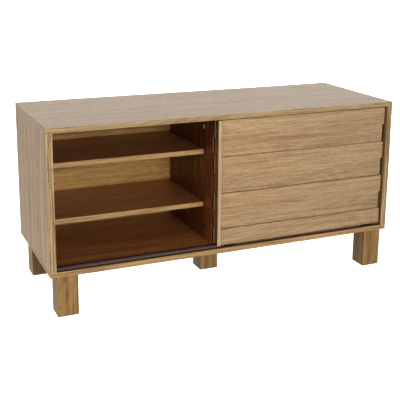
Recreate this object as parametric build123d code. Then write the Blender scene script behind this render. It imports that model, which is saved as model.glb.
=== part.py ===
from build123d import *
import os

# Low television stand in oak-faced board: a carcass on five square legs, an open bay with
# two shelves on the left, a closed bay on the right, and two slatted doors that slide past
# each other along the front. Millimetres, +Z up, front towards -Y, floor at z = 0, origin
# under the middle of the carcass.

# Overall sizes
overall_width = 1100.0
overall_depth = 400.0
carcass_height = 420.0
leg_height = 120.0

# Boards
board_thickness = 15.0  # top, bottom and shelves
side_thickness = 18.0  # sides and divider
back_thickness = 3.0
edge_round = 0.8
divider_step = 0.5  # divider's left face beyond the left end of the shut doors
divider_clearance = 3.0  # behind the rear door

# Back panels in their grooves
back_inset = 12.0  # rear face of the carcass to the rear wall of the groove
groove_width = 3.2
groove_depth = 5.0
back_end_gap = 0.5

# Shelves
left_shelf_recess = 103.0
left_shelf_tops = (297.0, 132.5)  # above the underside of the carcass
right_shelf_recess = 70.0
right_shelf_top = 212.0
shelf_end_gap = 1.0
shelf_back_gap = 2.0
pin_radius = 2.5
pin_length = 16.0
pin_hole_depth = 8.0
pin_row_inset = 60.0  # from a shelf's front or back edge
pin_pitch = 32.0
upper_pin_steps = (-2, -1, 0)
lower_pin_steps = (-1, 0, 1)

# Legs
leg_side = 60.0
leg_round = 1.5
leg_side_inset = 18.0
leg_front_inset = 2.0
leg_rear_inset = 15.0
glide_thickness = 2.0
glide_radius = 12.5
glide_nail_radius = 1.2
glide_nail_length = 12.0
hanger_bolt_radius = 4.0
hanger_bolt_in_leg = 40.0
hanger_bolt_in_nut = 11.0
insert_nut_radius = 6.0
insert_nut_length = 12.0

# Sliding-door tracks, measured behind the front of the carcass
groove_centres = (9.0, 31.0)  # front door, rear door
channel_width = 7.0
track_end_gap = 1.0
bottom_track_lip = 2.0
bottom_track_base = 1.0
bottom_track_height = 4.0
top_track_wall = 1.0
top_track_roof = 1.5
top_track_height = 8.0
top_track_drop = 1.0  # below the underside of the top board
track_screw_end_inset = 31.0  # outer screws, from the ends of the track
track_screw_middle = 170.0  # inner screws, from the middle of the carcass

# Doors. Each stands one fixed step in front of its own groove centre.
door_end_gap = 5.0  # between a shut door and the side board
door_overlap = 98.0  # how far the two shut doors cover each other
door_face_ahead = 6.0  # strip face ahead of the groove centre
door_thickness = 16.0
door_top_gap = 2.5
door_bottom_gap = 7.5
strip_width = 11.5
slat_setback = 3.0  # slat face behind the strip face
slat_thickness = 5.0
slat_pitch = 110.0
slat_gap = 2.0
slat_strip_gap = 1.0
slat_round = 1.0
full_slats = 3
pull_depth = 6.0
pull_height = 54.0

# Door glides below and guides above
runner_length = 36.0
runner_width = 5.0
runner_inset = 45.0  # from each end of the door
runner_seat = 3.0  # let into the backing board
glide_plate = 2.5
glide_running_gap = 0.2
guide_plate = 1.0
guide_rise = 7.0
runner_screw_spacing = 24.0

# Fittings
fit_gap = 0.05
cam_radius = 7.5
cam_length = 12.0
cam_setback = 40.0  # cam centre from the end of an upright board
cam_insets = (106.0, 70.0)  # from the front and from the rear
cam_recess_depth = 1.0
cam_recess_width = 1.6
bolt_bore_radius = 4.0
bolt_shaft_radius = 2.5
bolt_thread_radius = 3.0
bolt_thread_length = 10.0
bolt_head_radius = 3.5
bolt_head_length = 2.5
dowel_radius = 4.0
dowel_in_board = 10.0
dowel_in_upright = 20.0
dowel_insets = (74.0, 38.0)  # from the front and from the rear
screw_radius = 1.5
screw_length = 14.0
screw_head_radius = 3.0
screw_head_depth = 1.6
bumper_radius = 3.5
bumper_length = 4.5

# Planes worked out from the sizes above
left_x = -overall_width / 2
right_x = overall_width / 2
front_y = -overall_depth / 2
rear_y = overall_depth / 2
base_z = leg_height
roof_z = leg_height + carcass_height
inside_left = left_x + side_thickness
inside_right = right_x - side_thickness
inside_floor = base_z + board_thickness
inside_roof = roof_z - board_thickness
door_width = (inside_right - inside_left) / 2 - door_end_gap + door_overlap / 2
door_right = inside_right - door_end_gap
door_left = door_right - door_width
divider_left = door_left - divider_step
divider_right = divider_left + side_thickness
door_rear = front_y + groove_centres[1] - door_face_ahead + door_thickness
divider_front = door_rear + divider_clearance
groove_rear = rear_y - back_inset
groove_front = groove_rear - groove_width
door_bottom = inside_floor + door_bottom_gap
door_top = inside_roof - door_top_gap
cam_rows = (front_y + cam_insets[0], rear_y - cam_insets[1])
dowel_rows = (front_y + dowel_insets[0], rear_y - dowel_insets[1])
track_left = inside_left + track_end_gap
track_right = inside_right - track_end_gap
track_screw_row = (
    track_left + track_screw_end_inset,
    -track_screw_middle,
    track_screw_middle,
    track_right - track_screw_end_inset,
)


def block(x, y, z):
    """A plain box between pairs of planes."""
    size = [max(pair) - min(pair) for pair in (x, y, z)]
    middle = [(pair[0] + pair[1]) / 2 for pair in (x, y, z)]
    return Pos(*middle) * Box(*size)


def eased(solid, radius):
    """The solid with all its edges rounded."""
    return fillet(solid.edges(), radius)


def post(radius, x, y, z):
    """A round bar along Z between a pair of heights."""
    return Pos(x, y, (z[0] + z[1]) / 2) * Cylinder(radius, abs(z[1] - z[0]))


def bar(radius, x, y, z):
    """A round bar along X between a pair of places."""
    return Pos((x[0] + x[1]) / 2, y, z) * Rot(0, 90, 0) * Cylinder(radius, abs(x[1] - x[0]))


def save(name, *solids):
    """Writes one node, as one solid or as a group of separate solids."""
    shape = solids[0] if len(solids) == 1 else Compound(children=list(solids))
    export_step(shape, f"parts/{name}.step")


# Upright boards: their x span and their front plane
uprights = {
    "left_side_panel": ((left_x, inside_left), front_y),
    "right_side_panel": ((inside_right, right_x), front_y),
    "divider_panel": ((divider_left, divider_right), divider_front),
}


def board_ends():
    """Each upright's two ends: where it meets the bottom board and the top board."""
    for name, (x, _) in uprights.items():
        for end, into in ((inside_floor, 1), (inside_roof, -1)):
            yield name, x, end, into


def cam_face(name, x):
    """The face a cam is pressed in from, and the direction into the board."""
    return (x[1], -1) if name == "left_side_panel" else (x[0], 1)


def cam_bolt_line(x):
    """The x of the connecting bolts and dowels: the middle of the upright."""
    return (x[0] + x[1]) / 2


def shelf_supports():
    """Each shelf as its x span, front plane, top plane and the pin steps of its hole rows."""
    left = (inside_left, divider_left)
    right = (divider_right, inside_right)
    yield "upper_shelf", left, left_shelf_recess, base_z + left_shelf_tops[0], upper_pin_steps
    yield "lower_shelf", left, left_shelf_recess, base_z + left_shelf_tops[1], lower_pin_steps
    yield "right_bay_shelf", right, right_shelf_recess, base_z + right_shelf_top, lower_pin_steps


def pin_rows(recess):
    """The y of the front and rear pins of a shelf."""
    return (
        front_y + recess + pin_row_inset,
        groove_front - shelf_back_gap - pin_row_inset,
    )


def pin_height(shelf_top):
    """The height of a pin's axis under a shelf."""
    return shelf_top - board_thickness - pin_radius


def pin_holes():
    """Every shelf pin hole, including the spare steps."""
    holes = []
    for _, span, recess, top, steps in shelf_supports():
        for face, into in ((span[0], -1), (span[1], 1)):
            for y in pin_rows(recess):
                for step in steps:
                    z = pin_height(top) + step * pin_pitch
                    mouth = (face - into * fit_gap, face + into * pin_hole_depth)
                    holes.append(bar(pin_radius + fit_gap, mouth, y, z))
    return holes


def upright_cuts(name, x):
    """Bores for cams, bolts and dowels in the ends of one upright board."""
    cuts = []
    for owner, _, end, into in board_ends():
        if owner != name:
            continue
        line = cam_bolt_line(x)
        face, inward = cam_face(name, x)
        for y in cam_rows:
            centre = end + into * cam_setback
            depth = (face, face + inward * (cam_length + fit_gap))
            cuts.append(bar(cam_radius + fit_gap, depth, y, centre))
            cuts.append(post(bolt_bore_radius, line, y, (end, centre)))
        for y in dowel_rows:
            reach = (end, end + into * dowel_in_upright)
            cuts.append(post(dowel_radius + fit_gap, line, y, reach))
    return cuts


def board_cuts(level):
    """Bores for bolts and dowels in the face of the bottom or the top board."""
    cuts = []
    for name, x, end, into in board_ends():
        if end != level:
            continue
        line = cam_bolt_line(x)
        for y in cam_rows:
            reach = (end, end - into * bolt_thread_length)
            cuts.append(post(bolt_thread_radius + fit_gap, line, y, reach))
        for y in dowel_rows:
            reach = (end, end - into * dowel_in_board)
            cuts.append(post(dowel_radius + fit_gap, line, y, reach))
    return cuts


def back_grooves():
    """The groove ring that holds the back panels, in all five boards."""
    y = (groove_front, groove_rear)
    across = (inside_left - groove_depth, inside_right + groove_depth)
    upright = (inside_floor, inside_roof)
    low = block(across, y, (inside_floor - groove_depth, inside_floor))
    high = block(across, y, (inside_roof, inside_roof + groove_depth))
    cuts = [low, high]
    for face, into in (
        (inside_left, -1),
        (divider_left, 1),
        (divider_right, -1),
        (inside_right, 1),
    ):
        cuts.append(block((face, face + into * groove_depth), y, upright))
    return cuts


def countersunk_screw(x, y, head_z, direction, length, radius_gap=0.0):
    """A countersunk screw whose head is flush with head_z; direction +1 drives it upwards."""
    shank = post(screw_radius + radius_gap, x, y, (head_z, head_z + direction * length))
    wide, narrow = screw_head_radius + radius_gap, screw_radius + radius_gap
    low, high = (wide, narrow) if direction > 0 else (narrow, wide)
    middle = head_z + direction * screw_head_depth / 2
    return shank + Pos(x, y, middle) * Cone(low, high, screw_head_depth)


# Legs
leg_centres = {
    "front_left_leg": (
        left_x + leg_side_inset + leg_side / 2,
        front_y + leg_front_inset + leg_side / 2,
    ),
    "front_right_leg": (
        right_x - leg_side_inset - leg_side / 2,
        front_y + leg_front_inset + leg_side / 2,
    ),
    "rear_left_leg": (
        left_x + leg_side_inset + leg_side / 2,
        rear_y - leg_rear_inset - leg_side / 2,
    ),
    "rear_right_leg": (
        right_x - leg_side_inset - leg_side / 2,
        rear_y - leg_rear_inset - leg_side / 2,
    ),
    "centre_leg": (0.0, 0.0),
}


def make_legs():
    """Square legs with their glides, hanger bolts and insert nuts."""
    glides, bolts, nuts = [], [], []
    for name, (x, y) in leg_centres.items():
        side_x = (x - leg_side / 2, x + leg_side / 2)
        side_y = (y - leg_side / 2, y + leg_side / 2)
        leg = eased(block(side_x, side_y, (glide_thickness, base_z)), leg_round)
        nail_top = glide_thickness + glide_nail_length
        bolt_foot = base_z - hanger_bolt_in_leg
        leg -= post(hanger_bolt_radius + fit_gap, x, y, (bolt_foot, base_z))
        leg -= post(glide_nail_radius + fit_gap, x, y, (glide_thickness, nail_top))
        save(name, leg)
        disc = post(glide_radius, x, y, (0.0, glide_thickness))
        glides.append(disc + post(glide_nail_radius, x, y, (0.0, nail_top)))
        bolts.append(post(hanger_bolt_radius, x, y, (bolt_foot, base_z + hanger_bolt_in_nut)))
        nut_span = (base_z, base_z + insert_nut_length)
        nut = post(insert_nut_radius, x, y, nut_span)
        nuts.append(nut - post(hanger_bolt_radius + fit_gap, x, y, nut_span))
    save("leg_glides", *glides)
    save("leg_hanger_bolts", *bolts)
    save("leg_insert_nuts", *nuts)


def make_tracks():
    """The double bottom track, the double top track and their screws."""
    x = (track_left, track_right)
    half = channel_width / 2
    channels = [front_y + centre for centre in groove_centres]
    screw_y = front_y + sum(groove_centres) / 2

    low = channels[0] - half - bottom_track_lip
    high = channels[1] + half + bottom_track_lip
    floor = inside_floor + bottom_track_base
    crest = inside_floor + bottom_track_height
    bottom = block(x, (low, high), (inside_floor, crest))
    for centre in channels:
        bottom -= block(x, (centre - half, centre + half), (floor, crest))

    low = channels[0] - half - top_track_wall
    high = channels[1] + half + top_track_wall
    underside = inside_roof - top_track_drop
    ceiling = underside + top_track_height
    top = block(x, (low, high), (underside, ceiling))
    for centre in channels:
        roof = ceiling - top_track_roof
        top -= block(x, (centre - half, centre + half), (underside, roof))

    screws = []
    for place in track_screw_row:
        bottom -= countersunk_screw(place, screw_y, crest, -1, bottom_track_height, fit_gap)
        screws.append(countersunk_screw(place, screw_y, crest, -1, screw_length))
        top -= countersunk_screw(place, screw_y, underside, 1, top_track_height, fit_gap)
        screws.append(countersunk_screw(place, screw_y, underside, 1, screw_length))
    save("bottom_track", bottom)
    save("top_track", top)
    save("track_screws", *screws)


def track_screw_pilots(head_z, direction):
    """Holes in a board for the screws of the track on it."""
    y = front_y + sum(groove_centres) / 2
    reach = (head_z, head_z + direction * screw_length)
    return [post(screw_radius + fit_gap, x, y, reach) for x in track_screw_row]


def make_carcass():
    """Top, bottom, sides, divider and back panels."""
    full_x, full_y = (left_x, right_x), (front_y, rear_y)
    grooves = back_grooves()
    half = channel_width / 2
    rebate_y = (
        front_y + groove_centres[0] - half - top_track_wall,
        front_y + groove_centres[1] + half + top_track_wall,
    )
    rebate_top = inside_roof - top_track_drop + top_track_height

    top = eased(block(full_x, full_y, (inside_roof, roof_z)), edge_round)
    top -= block((inside_left, inside_right), rebate_y, (inside_roof, rebate_top))
    for cut in board_cuts(inside_roof) + track_screw_pilots(inside_roof - top_track_drop, 1):
        top -= cut
    top -= grooves[1]
    save("top_panel", top)

    bottom = eased(block(full_x, full_y, (base_z, inside_floor)), edge_round)
    for cut in board_cuts(inside_floor):
        bottom -= cut
    for cut in track_screw_pilots(inside_floor + bottom_track_height, -1):
        bottom -= cut
    for x, y in leg_centres.values():
        nut_span = (base_z, base_z + insert_nut_length + fit_gap)
        bottom -= post(insert_nut_radius + fit_gap, x, y, nut_span)
    bottom -= grooves[0]
    save("bottom_panel", bottom)

    pins = pin_holes()
    for name, (x, start) in uprights.items():
        panel = eased(block(x, (start, rear_y), (inside_floor, inside_roof)), edge_round)
        inner = (x[0] - fit_gap, x[1] + fit_gap)
        for cut in upright_cuts(name, x) + grooves[2:]:
            panel -= cut
        for hole in pins:
            if inner[0] < hole.center().X < inner[1]:
                panel -= hole
        save(name, panel)

    y = (groove_front, groove_front + back_thickness)
    z = (inside_floor - groove_depth, inside_roof + groove_depth - back_end_gap)
    reach = groove_depth - back_end_gap
    save("left_back_panel", block((inside_left - reach, divider_left + reach), y, z))
    save("right_back_panel", block((divider_right - reach, inside_right + reach), y, z))


def make_shelves():
    """The three shelves and the pins that carry them."""
    pins = []
    for name, span, recess, top, _ in shelf_supports():
        x = (span[0] + shelf_end_gap, span[1] - shelf_end_gap)
        y = (front_y + recess, groove_front - shelf_back_gap)
        save(name, eased(block(x, y, (top - board_thickness, top)), edge_round))
        for face, into in ((span[0], -1), (span[1], 1)):
            inner_end = face + into * pin_hole_depth
            reach = (inner_end, inner_end - into * pin_length)
            for pin_y in pin_rows(recess):
                pins.append(bar(pin_radius, reach, pin_y, pin_height(top)))
    save("shelf_pins", *pins)


def make_fittings():
    """Cam locks, their bolts and the dowels between the uprights and the two boards."""
    cams, bolts, dowels = [], [], []
    for name, x, end, into in board_ends():
        line = cam_bolt_line(x)
        face, inward = cam_face(name, x)
        for y in cam_rows:
            centre = end + into * cam_setback
            cam = bar(cam_radius, (face, face + inward * cam_length), y, centre)
            past = centre + into * bolt_head_length
            cam -= post(bolt_bore_radius, line, y, (end, past))
            recess_x = (face, face + inward * cam_recess_depth)
            arm, half = cam_radius * 0.6, cam_recess_width / 2
            cam -= block(recess_x, (y - arm, y + arm), (centre - half, centre + half))
            cam -= block(recess_x, (y - half, y + half), (centre - arm, centre + arm))
            cams.append(cam)
            root = end - into * bolt_thread_length
            bolt = post(bolt_thread_radius, line, y, (root, end))
            bolt += post(bolt_shaft_radius, line, y, (end, centre))
            head = (centre - into * bolt_head_length, centre)
            bolts.append(bolt + post(bolt_head_radius, line, y, head))
        for y in dowel_rows:
            reach = (end - into * dowel_in_board, end + into * dowel_in_upright)
            dowels.append(post(dowel_radius, line, y, reach))
    save("cam_locks", *cams)
    save("cam_bolts", *bolts)
    save("wood_dowels", *dowels)


def make_door(name, groove_centre, strip_end, way):
    """One slatted door. It starts at strip_end with its edge strip and runs along way."""
    face = front_y + groove_centre - door_face_ahead
    slat_y = (face + slat_setback, face + slat_setback + slat_thickness)
    backing_y = (slat_y[1], face + door_thickness)

    def along(a, b):
        return tuple(sorted((strip_end + way * a, strip_end + way * b)))

    strip_x = along(0.0, strip_width)
    strip = block(strip_x, (face, face + door_thickness), (door_bottom, door_top))
    save(f"{name}_edge_strip", eased(strip, slat_round))

    slat_foot = door_width - pull_depth
    backing = block(along(strip_width, slat_foot), backing_y, (door_bottom, door_top))
    guides, glides, screws = [], [], []
    blade_y = (
        front_y + groove_centre - runner_width / 2,
        front_y + groove_centre + runner_width / 2,
    )
    plate_y = (blade_y[0], backing_y[1])
    screw_y = (backing_y[0] + backing_y[1]) / 2
    groove_floor = inside_floor + bottom_track_base
    for middle in (runner_inset, door_width - runner_inset):
        x = along(middle - runner_length / 2, middle + runner_length / 2)
        seats = (
            (door_top, -1, door_top + guide_plate, door_top + guide_rise, guides),
            (door_bottom, 1, door_bottom - glide_plate, groove_floor + glide_running_gap, glides),
        )
        for edge, inward, plate_end, blade_end, kept in seats:
            seat = block(x, backing_y, (edge, edge + inward * runner_seat))
            backing -= seat
            runner = seat + block(x, plate_y, (edge, plate_end))
            runner += block(x, blade_y, (edge, blade_end))
            for offset in (-runner_screw_spacing / 2, runner_screw_spacing / 2):
                place = sum(x) / 2 + offset
                seat_screw = (place, screw_y, plate_end, inward)
                runner -= countersunk_screw(*seat_screw, screw_length, fit_gap)
                backing -= countersunk_screw(*seat_screw, screw_length, fit_gap)
                screws.append(countersunk_screw(*seat_screw, screw_length))
            kept.append(runner)
    save(f"{name}_backing", backing)
    save(f"{name}_top_guides", *guides)
    save(f"{name}_bottom_glides", *glides)
    save(f"{name}_screws", *screws)

    slat_start = strip_width + slat_strip_gap
    for number in range(full_slats):
        high = door_top - number * slat_pitch
        low = high - slat_pitch + slat_gap
        slat = eased(block(along(slat_start, door_width), slat_y, (low, high)), slat_round)
        pull = block(along(slat_foot, door_width), slat_y, (low, low + pull_height))
        save(f"{name}_slat_{number + 1}", slat - pull)
    high = door_top - full_slats * slat_pitch
    last = block(along(slat_start, door_width), slat_y, (door_bottom, high))
    save(f"{name}_slat_{full_slats + 1}", eased(last, slat_round))


def make_bumpers():
    """Rubber buffers on the side boards that stop the doors at both ends."""
    upper_half = slat_pitch - slat_gap - pull_height
    height = door_top - slat_pitch - upper_half / 2
    buffers = []
    for centre in groove_centres:
        y = front_y + centre - door_face_ahead + slat_setback + slat_thickness / 2
        for face, into in ((inside_left, 1), (inside_right, -1)):
            reach = (face, face + into * bumper_length)
            buffers.append(bar(bumper_radius, reach, y, height))
    save("door_bumpers", *buffers)


os.makedirs("parts", exist_ok=True)
make_carcass()
make_shelves()
make_legs()
make_tracks()
make_fittings()
make_door("front_door", groove_centres[0], door_left, 1)
make_door("rear_door", groove_centres[1], door_right, -1)
make_bumpers()
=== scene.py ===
"""Low oak television stand with two slatted sliding doors: finishes and fine pieces."""

import logging
import math
from dataclasses import dataclass
from enum import Enum
from typing import Any, Iterable, Sequence

import bmesh
import bpy
from mathutils import Euler, Matrix, Vector


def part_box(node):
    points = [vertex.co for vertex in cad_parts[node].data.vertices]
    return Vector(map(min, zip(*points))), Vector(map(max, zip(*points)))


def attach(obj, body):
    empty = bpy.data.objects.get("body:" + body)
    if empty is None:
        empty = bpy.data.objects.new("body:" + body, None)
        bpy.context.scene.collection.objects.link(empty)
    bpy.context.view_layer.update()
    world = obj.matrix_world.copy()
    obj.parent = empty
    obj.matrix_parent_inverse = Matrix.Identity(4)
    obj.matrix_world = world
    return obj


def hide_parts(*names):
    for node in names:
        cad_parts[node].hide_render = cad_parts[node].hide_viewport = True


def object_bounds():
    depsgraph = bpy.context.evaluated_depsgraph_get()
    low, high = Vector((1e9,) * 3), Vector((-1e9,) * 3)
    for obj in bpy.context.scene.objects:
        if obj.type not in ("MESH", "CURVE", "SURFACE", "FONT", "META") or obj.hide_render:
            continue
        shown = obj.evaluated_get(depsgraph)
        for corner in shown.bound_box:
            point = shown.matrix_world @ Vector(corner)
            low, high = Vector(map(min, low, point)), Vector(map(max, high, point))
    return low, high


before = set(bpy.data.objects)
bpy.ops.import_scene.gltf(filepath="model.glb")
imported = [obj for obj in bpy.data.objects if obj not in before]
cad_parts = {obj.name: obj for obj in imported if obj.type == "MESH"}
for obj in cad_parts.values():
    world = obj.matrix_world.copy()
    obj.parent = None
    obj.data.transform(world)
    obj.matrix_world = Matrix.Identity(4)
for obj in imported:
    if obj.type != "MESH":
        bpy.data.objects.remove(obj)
cad_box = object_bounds()

log = logging.getLogger("tv_stand")

Colour = tuple[float, float, float]
Scales = tuple[float, float, float]  # grains to the metre along x, y and z
Value = Any  # a node socket, a number or a vector
SMOOTH_ANGLE = math.radians(35.0)
CAD_WELD = 1e-6  # metres within which points of a CAD mesh are one
PIECE_WELD = 1e-7  # the same for a finished piece
SORT_DIGITS = 5
BEVEL_SEGMENTS = 3
SHARP_STEP = 0.00001  # height of a step between two rings of a turned shape
ROUND_SHARE = 0.3  # place of the middle ring on a rounded rim, of the rounding
LOOKS_ALONG = 0.5  # part of a normal above which its face looks along an axis
FIGURE_ALONG = 7.3  # how far a board's number moves its figure along the grain
FIGURE_ACROSS = 1.9
QUARTER_TURN = math.pi / 2


# ---------------------------------------------------------------- frame helpers


@dataclass(frozen=True)
class Span:
    """A box between two corners, in metres, in the stand's frame."""

    low: Vector
    high: Vector

    @classmethod
    def of(cls, node: str) -> "Span":
        """The box of one CAD node."""
        low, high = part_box(node)
        return cls(low, high)

    @property
    def centre(self) -> Vector:
        """The middle of the box."""
        return (self.low + self.high) / 2

    @property
    def size(self) -> Vector:
        """The box's three edge lengths."""
        return self.high - self.low

    def distance(self, point: Vector) -> float:
        """How far a point lies outside the box."""
        outside = [max(self.low[i] - point[i], 0.0, point[i] - self.high[i]) for i in range(3)]
        return Vector(outside).length


def solids(node: str) -> list[Span]:
    """Finds the separate solids of a CAD node that holds several.

    Args:
        node: The CAD node's name.

    Returns:
        The box of each solid, in order of x, then y, then z.
    """
    shell = bmesh.new()
    shell.from_mesh(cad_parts[node].data)
    bmesh.ops.remove_doubles(shell, verts=shell.verts, dist=CAD_WELD)
    left = set(shell.verts)
    found = []
    while left:
        front = [left.pop()]
        island = []
        while front:
            vertex = front.pop()
            island.append(vertex.co.copy())
            for edge in vertex.link_edges:
                other = edge.other_vert(vertex)
                if other in left:
                    left.remove(other)
                    front.append(other)
        low = Vector([min(point[i] for point in island) for i in range(3)])
        high = Vector([max(point[i] for point in island) for i in range(3)])
        found.append(Span(low, high))
    shell.free()
    return sorted(found,
                  key=lambda span: tuple(round(value, SORT_DIGITS) for value in span.centre))


def new_object(name: str, mesh: bpy.types.Mesh) -> bpy.types.Object:
    """Links an object for a mesh to the scene.

    Args:
        name: The object's name.
        mesh: Its mesh.

    Returns:
        The new object.
    """
    piece = bpy.data.objects.new(name, mesh)
    bpy.context.scene.collection.objects.link(piece)
    return piece


def dress(node: str, material: bpy.types.Material) -> None:
    """Gives a carried-over CAD node its finish.

    Args:
        node: The CAD node's name.
        material: The finish.
    """
    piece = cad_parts[node]
    if not piece.material_slots:
        piece.data.materials.append(material)
    for slot in piece.material_slots:
        slot.material = material
    log.info("dressed %s in %s", node, material.name)


def install(piece: bpy.types.Object, body: str, nodes: Iterable[str]) -> None:
    """Lets a new piece ride on a body in place of CAD nodes.

    Args:
        piece: The finished piece, in its place.
        body: The CAD body that it moves with.
        nodes: The CAD nodes that the piece stands for.
    """
    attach(piece, body)
    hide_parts(*nodes)
    log.info("built %s: %d faces on %s", piece.name, len(piece.data.polygons), body)


# ---------------------------------------------------------------- node builders


class Graph:
    """A node tree under construction, with short calls for what this script needs."""

    def __init__(self, tree: bpy.types.NodeTree) -> None:
        """Keeps the tree that the nodes go into."""
        self.tree = tree

    def feed(self, socket: bpy.types.NodeSocket, value: Value) -> None:
        """Links a socket to an input, or sets the input's own value.

        Args:
            socket: The input.
            value: The socket or the value that goes into it.
        """
        if isinstance(value, bpy.types.NodeSocket):
            self.tree.links.new(value, socket)
        else:
            socket.default_value = value

    def node(self, kind: str, inputs: dict[int | str, Value] | None = None,
             **settings: Any) -> bpy.types.Node:
        """Adds a node.

        Args:
            kind: The node's type name.
            inputs: Sockets or values for its inputs, by name or place.
            **settings: The node's own properties.

        Returns:
            The new node.
        """
        made = self.tree.nodes.new(kind)
        for key, value in settings.items():
            setattr(made, key, value)
        for key, value in (inputs or {}).items():
            self.feed(made.inputs[key], value)
        return made

    def math(self, operation: str, *values: Value) -> bpy.types.NodeSocket:
        """A scalar calculation on up to three values."""
        made = self.node("ShaderNodeMath", dict(enumerate(values)), operation=operation)
        return made.outputs[0]

    def vector(self, x: Value, y: Value, z: Value) -> bpy.types.NodeSocket:
        """A vector from three values."""
        return self.node("ShaderNodeCombineXYZ", {0: x, 1: y, 2: z}).outputs[0]

    def parts(self, vector: Value) -> tuple[bpy.types.NodeSocket, ...]:
        """The x, y and z of a vector."""
        return tuple(self.node("ShaderNodeSeparateXYZ", {0: vector}).outputs)

    def blend(self, factor: Value, first: Value, second: Value) -> bpy.types.NodeSocket:
        """A number between two others."""
        made = self.node("ShaderNodeMix", {0: factor, 2: first, 3: second}, data_type="FLOAT")
        return made.outputs[0]

    def tint(self, factor: Value, first: Value, second: Value,
             mode: str = "MIX") -> bpy.types.NodeSocket:
        """A colour mixed from two others.

        Args:
            factor: The share of the second colour.
            first: The first colour.
            second: The second colour.
            mode: How the second colour acts on the first.

        Returns:
            The mixed colour.
        """
        made = self.node("ShaderNodeMix", data_type="RGBA", blend_type=mode)
        for key, value in ((0, factor), (6, first), (7, second)):
            self.feed(made.inputs[key], value if not isinstance(value, tuple) else (*value, 1.0))
        return made.outputs[2]

    def remap(self, value: Value, low: float, high: float, to_low: float = 0.0,
              to_high: float = 1.0) -> bpy.types.NodeSocket:
        """A value moved from one range to another, smoothly and within its ends."""
        inputs = {0: value, 1: low, 2: high, 3: to_low, 4: to_high}
        return self.node("ShaderNodeMapRange", inputs, interpolation_type="SMOOTHSTEP").outputs[0]

    def noise(self, vector: Value, detail: float = 2.0,
              roughness: float = 0.5) -> bpy.types.NodeSocket:
        """Noise between 0 and 1 whose grains are one unit of the vector."""
        inputs = {"Vector": vector, "Scale": 1.0, "Detail": detail, "Roughness": roughness}
        return self.node("ShaderNodeTexNoise", inputs).outputs[0]


class Shader(Graph):
    """A procedural surface material under construction."""

    def __init__(self, name: str) -> None:
        """Starts a material with one Principled shader.

        Args:
            name: The material's name.
        """
        self.material = bpy.data.materials.new(name)
        self.material.use_nodes = True
        super().__init__(self.material.node_tree)
        self.surface = self.tree.nodes["Principled BSDF"]
        coordinates = self.node("ShaderNodeTexCoord")
        self.place = coordinates.outputs["Object"]
        self.facing = coordinates.outputs["Normal"]

    def set(self, **inputs: Value) -> None:
        """Sets the shader's inputs, with underscores for the spaces in their names."""
        for key, value in inputs.items():
            self.feed(self.surface.inputs[key.replace("_", " ").title()], value)

    def scaled(self, x: float, y: float, z: float) -> bpy.types.NodeSocket:
        """The object's coordinates, times a number along each axis."""
        return self.node("ShaderNodeMapping", {0: self.place, 3: (x, y, z)}).outputs[0]

    def bump(self, height: Value, depth: float, strength: float) -> None:
        """Raises the surface by a height, times a depth.

        Args:
            height: The height, between 0 and 1.
            depth: What a height of 1 stands for, in metres.
            strength: How strongly the relief shows, between 0 and 1.
        """
        inputs = {"Strength": strength, "Distance": depth, "Height": height}
        normal = self.node("ShaderNodeBump", inputs).outputs[0]
        self.feed(self.surface.inputs["Normal"], normal)

    def edges(self, box: Span, width: float) -> bpy.types.NodeSocket:
        """Marks a board's outer edges.

        Args:
            box: The board's box.
            width: How wide the mark is on each side of an edge, in metres.

        Returns:
            A value of 1 on an edge, falling to 0 at the given width.
        """
        depths = []
        for value, low, high in zip(self.parts(self.place), box.low, box.high):
            below = self.math("SUBTRACT", value, low)
            above = self.math("SUBTRACT", high, value)
            depths.append(self.math("MINIMUM", below, above))
        least = self.math("MINIMUM", depths[0], depths[1])
        most = self.math("MAXIMUM", depths[0], depths[1])
        second = self.math("MAXIMUM", least, self.math("MINIMUM", most, depths[2]))
        return self.remap(second, 0.0, width, 1.0, 0.0)


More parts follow.
